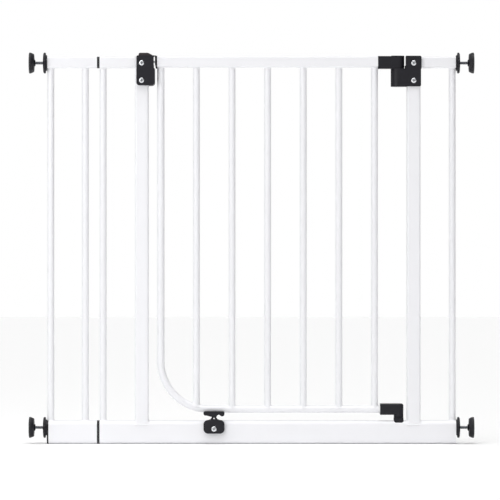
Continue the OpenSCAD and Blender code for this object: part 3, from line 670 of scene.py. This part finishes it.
class GATE_OT_spindles(bpy.types.Operator):
    """Cuts the threads of the spindles"""

    bl_idname = "gate.spindles"
    bl_label = "Threaded spindles"

    def execute(self, context):
        for corner in CORNERS:
            self.threaded(f"{corner}_rod", context.scene.gate_sizes)
        return {"FINISHED"}

    def threaded(self, node, sizes):
        """One spindle: a tooth's outline wound round the axis, then cut square and closed."""
        low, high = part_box(node)
        crest = (high.z - low.z) / 2
        root = crest - sizes.thread_depth
        pitch, steps = sizes.thread_pitch, 20
        turns = math.ceil((high.x - low.x) / pitch) + 3
        start = Vector((low.x - 1.5 * pitch, 0, (low.z + high.z) / 2))
        bm = bmesh.new()
        tooth = ((0, root), (0.36, crest), (0.5, crest), (0.86, root), (1, root))
        outline = [bm.verts.new(start + Vector((pitch * along, 0, out))) for along, out in tooth]
        edges = [bm.edges.new(pair) for pair in zip(outline, outline[1:])]
        bmesh.ops.spin(bm, geom=outline + edges, cent=start, axis=(1, 0, 0), angle=math.tau,
                       dvec=(pitch / steps, 0, 0), steps=steps, use_merge=False)
        one_turn = bm.verts[:] + bm.edges[:] + bm.faces[:]
        for turn in range(1, turns):
            copied = bmesh.ops.duplicate(bm, geom=one_turn)["geom"]
            bmesh.ops.translate(bm, vec=(turn * pitch, 0, 0),
                                verts=[g for g in copied if isinstance(g, bmesh.types.BMVert)])
        bmesh.ops.remove_doubles(bm, verts=bm.verts, dist=pitch / 100)
        for end, facing in ((low.x, -1), (high.x, 1)):
            cut = bmesh.ops.bisect_plane(bm, geom=bm.verts[:] + bm.edges[:] + bm.faces[:],
                                         dist=pitch / 1000, plane_co=(end, 0, 0),
                                         plane_no=(facing, 0, 0), clear_outer=True)
            rim = [g for g in cut["geom_cut"]
                   if isinstance(g, bmesh.types.BMEdge) and g.is_boundary]
            bmesh.ops.edgeloop_fill(bm, edges=rim)
        bmesh.ops.recalc_face_normals(bm, faces=bm.faces)
        made = piece_from(bm, f"{node}_threaded", BODY_OF[node], SLOT_OF[node], (node,), sharp=50)
        made.data.materials[0] = bpy.data.materials["greased_thread"]


class GATE_OT_knobs(bpy.types.Operator):
    """Makes the adjusting knobs"""

    bl_idname = "gate.knobs"
    bl_label = "Adjusting knobs"

    def execute(self, context):
        for corner in CORNERS:
            moulded(f"{corner}_knob", context.scene.gate_sizes.small_edge, 3)
        return {"FINISHED"}


class GATE_OT_pads(bpy.types.Operator):
    """Makes the wall pads' cups and rubber faces"""

    bl_idname = "gate.pads"
    bl_label = "Wall pads"

    def execute(self, context):
        for corner in CORNERS:
            moulded(f"{corner}_pad_cup", context.scene.gate_sizes.small_edge, 3)
            self.rubber_face(f"{corner}_pad_face")
        return {"FINISHED"}

    def rubber_face(self, node):
        """A rubber disc whose face has ring grooves that grip the wall."""
        low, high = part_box(node)
        side = 1 if low.x > 0 else -1
        back, front = (low.x, high.x) if side > 0 else (high.x, low.x)
        depth = abs(front - back)
        r = (high.z - low.z) / 2
        middle = Vector((0, 0, (low.z + high.z) / 2))
        groove, round_r = 0.0009, 0.0007
        outline = [(0, 0), (0, r), (depth - round_r, r), (depth - 0.3 * round_r, r - 0.3 * round_r),
                   (depth, r - round_r)]
        for ring in (0.82, 0.62, 0.42, 0.22):
            outline += [(depth, r * ring + groove), (depth - groove, r * ring),
                        (depth, r * ring - groove)]
        outline.append((depth, 0))
        bm = bmesh.new()
        verts = [bm.verts.new(middle + Vector((back + side * along, 0, out)))
                 for along, out in outline]
        edges = [bm.edges.new(pair) for pair in zip(verts, verts[1:])]
        bmesh.ops.spin(bm, geom=verts + edges, cent=middle, axis=(1, 0, 0), angle=math.tau,
                       steps=72, use_merge=True)
        bmesh.ops.remove_doubles(bm, verts=bm.verts, dist=0.001 * MM)
        bmesh.ops.recalc_face_normals(bm, faces=bm.faces)
        piece_from(bm, f"{node}_moulded", BODY_OF[node], SLOT_OF[node], (node,), sharp=40)


# ---------------------------------------------------------------- stage


class GATE_OT_stage(bpy.types.Operator):
    """Sets the floor, the lights and the camera"""

    bl_idname = "gate.stage"
    bl_label = "Stage"

    def execute(self, context):
        stage = context.scene.gate_stage
        self.floor(context)
        self.lights(context, stage)
        self.camera(context, stage)
        return {"FINISHED"}

    def floor(self, context):
        """A wide flat floor."""
        bm = bmesh.new()
        bmesh.ops.create_grid(bm, x_segments=2, y_segments=2, size=12.0)
        mesh = bpy.data.meshes.new("floor")
        bm.to_mesh(mesh)
        bm.free()
        obj = bpy.data.objects.new("floor", mesh)
        context.scene.collection.objects.link(obj)
        mesh.materials.append(matt_floor(context.scene.gate_colours.floor))

    def lights(self, context, stage):
        """Soft light from above and from the front left, in a white room with darker sides."""
        scene = context.scene
        scene.world = bpy.data.worlds.new("soft_room")
        scene.world.use_nodes = True
        tree = scene.world.node_tree
        tree.nodes.clear()
        facing = add(tree, "ShaderNodeTexCoord").outputs["Generated"]
        parts = add(tree, "ShaderNodeSeparateXYZ", None, {"Vector": facing})
        sideways = add(tree, "ShaderNodeMath", {"operation": "ABSOLUTE"}, {0: parts.outputs["X"]})
        fall = add(tree, "ShaderNodeMapRange", {"interpolation_type": "SMOOTHSTEP"},
                   {"Value": sideways.outputs["Value"], "From Min": 0.25, "From Max": 0.85,
                    "To Min": stage.room_front, "To Max": stage.room_side})
        room = add(tree, "ShaderNodeBackground", None,
                   {"Color": (1, 1, 1, 1), "Strength": fall.outputs["Result"]})
        backdrop = add(tree, "ShaderNodeBackground", None, {"Color": (1, 1, 1, 1), "Strength": 1.0})
        seen = add(tree, "ShaderNodeLightPath").outputs["Is Camera Ray"]
        both = add(tree, "ShaderNodeMixShader", None,
                   {"Fac": seen, 1: room.outputs["Background"], 2: backdrop.outputs["Background"]})
        add(tree, "ShaderNodeOutputWorld", None, {"Surface": both.outputs["Shader"]})
        scene.view_settings.view_transform = "Standard"
        panel = bpy.data.lights.new("key_panel", "AREA")
        panel.energy = stage.key_power
        panel.size = 1.2
        above = bpy.data.lights.new("overhead", "SUN")
        above.energy = stage.overhead
        above.angle = math.radians(60)
        target = Vector((-0.2, 0, 0.37))
        for data, place in ((panel, Vector((-1.5, -1.6, 1.1))), (above, Vector((-0.4, -0.5, 2.4)))):
            light = bpy.data.objects.new(data.name, data)
            light.location = place
            light.rotation_euler = (target - place).to_track_quat("-Z", "Y").to_euler()
            scene.collection.objects.link(light)

    def camera(self, context, stage):
        """Square to the gate, half way up it."""
        data = bpy.data.cameras.new("front_camera")
        data.lens = stage.focal_length
        data.sensor_width = 36
        obj = bpy.data.objects.new("front_camera", data)
        obj.location = (stage.camera_side, -stage.camera_distance, stage.camera_height)
        obj.rotation_euler = (math.pi / 2, 0, 0)
        context.scene.collection.objects.link(obj)
        context.scene.camera = obj


OPERATORS = (
    GATE_OT_tubes, GATE_OT_frame_welds, GATE_OT_door_welds, GATE_OT_latch, GATE_OT_hinges,
    GATE_OT_door_stop, GATE_OT_inserts, GATE_OT_screws, GATE_OT_spindles, GATE_OT_knobs,
    GATE_OT_pads, GATE_OT_stage,
)


class GATE_PT_sidebar(bpy.types.Panel):
    """Lists the gate's sizes, colours and steps"""

    bl_idname = "GATE_PT_sidebar"
    bl_label = "Safety Gate"
    bl_space_type = "VIEW_3D"
    bl_region_type = "UI"
    bl_category = "Gate"

    def draw(self, context):
        scene = context.scene
        for settings in (scene.gate_sizes, scene.gate_colours, scene.gate_stage):
            box = self.layout.box()
            for key in settings.bl_rna.properties.keys():
                if key not in ("rna_type", "name"):
                    box.prop(settings, key)
        for operator in OPERATORS:
            self.layout.operator(operator.bl_idname)


CLASSES = (GateSizes, GateColours, GateStage, *OPERATORS, GATE_PT_sidebar)


def register():
    for made in CLASSES:
        bpy.utils.register_class(made)
    bpy.types.Scene.gate_sizes = bpy.props.PointerProperty(type=GateSizes)
    bpy.types.Scene.gate_colours = bpy.props.PointerProperty(type=GateColours)
    bpy.types.Scene.gate_stage = bpy.props.PointerProperty(type=GateStage)


def unregister():
    del bpy.types.Scene.gate_stage, bpy.types.Scene.gate_colours, bpy.types.Scene.gate_sizes
    for made in reversed(CLASSES):
        bpy.utils.unregister_class(made)


def main():
    """Finishes the gate piece by piece."""
    register()
    bpy.ops.gate.tubes()
    bpy.ops.gate.frame_welds()
    bpy.ops.gate.door_welds()
    bpy.ops.gate.latch()
    bpy.ops.gate.hinges()
    bpy.ops.gate.door_stop()
    bpy.ops.gate.inserts()
    bpy.ops.gate.screws()
    bpy.ops.gate.spindles()
    bpy.ops.gate.knobs()
    bpy.ops.gate.pads()
    bpy.ops.gate.stage()
    bpy.context.view_layer.update()


if __name__ == "__main__":
    main()
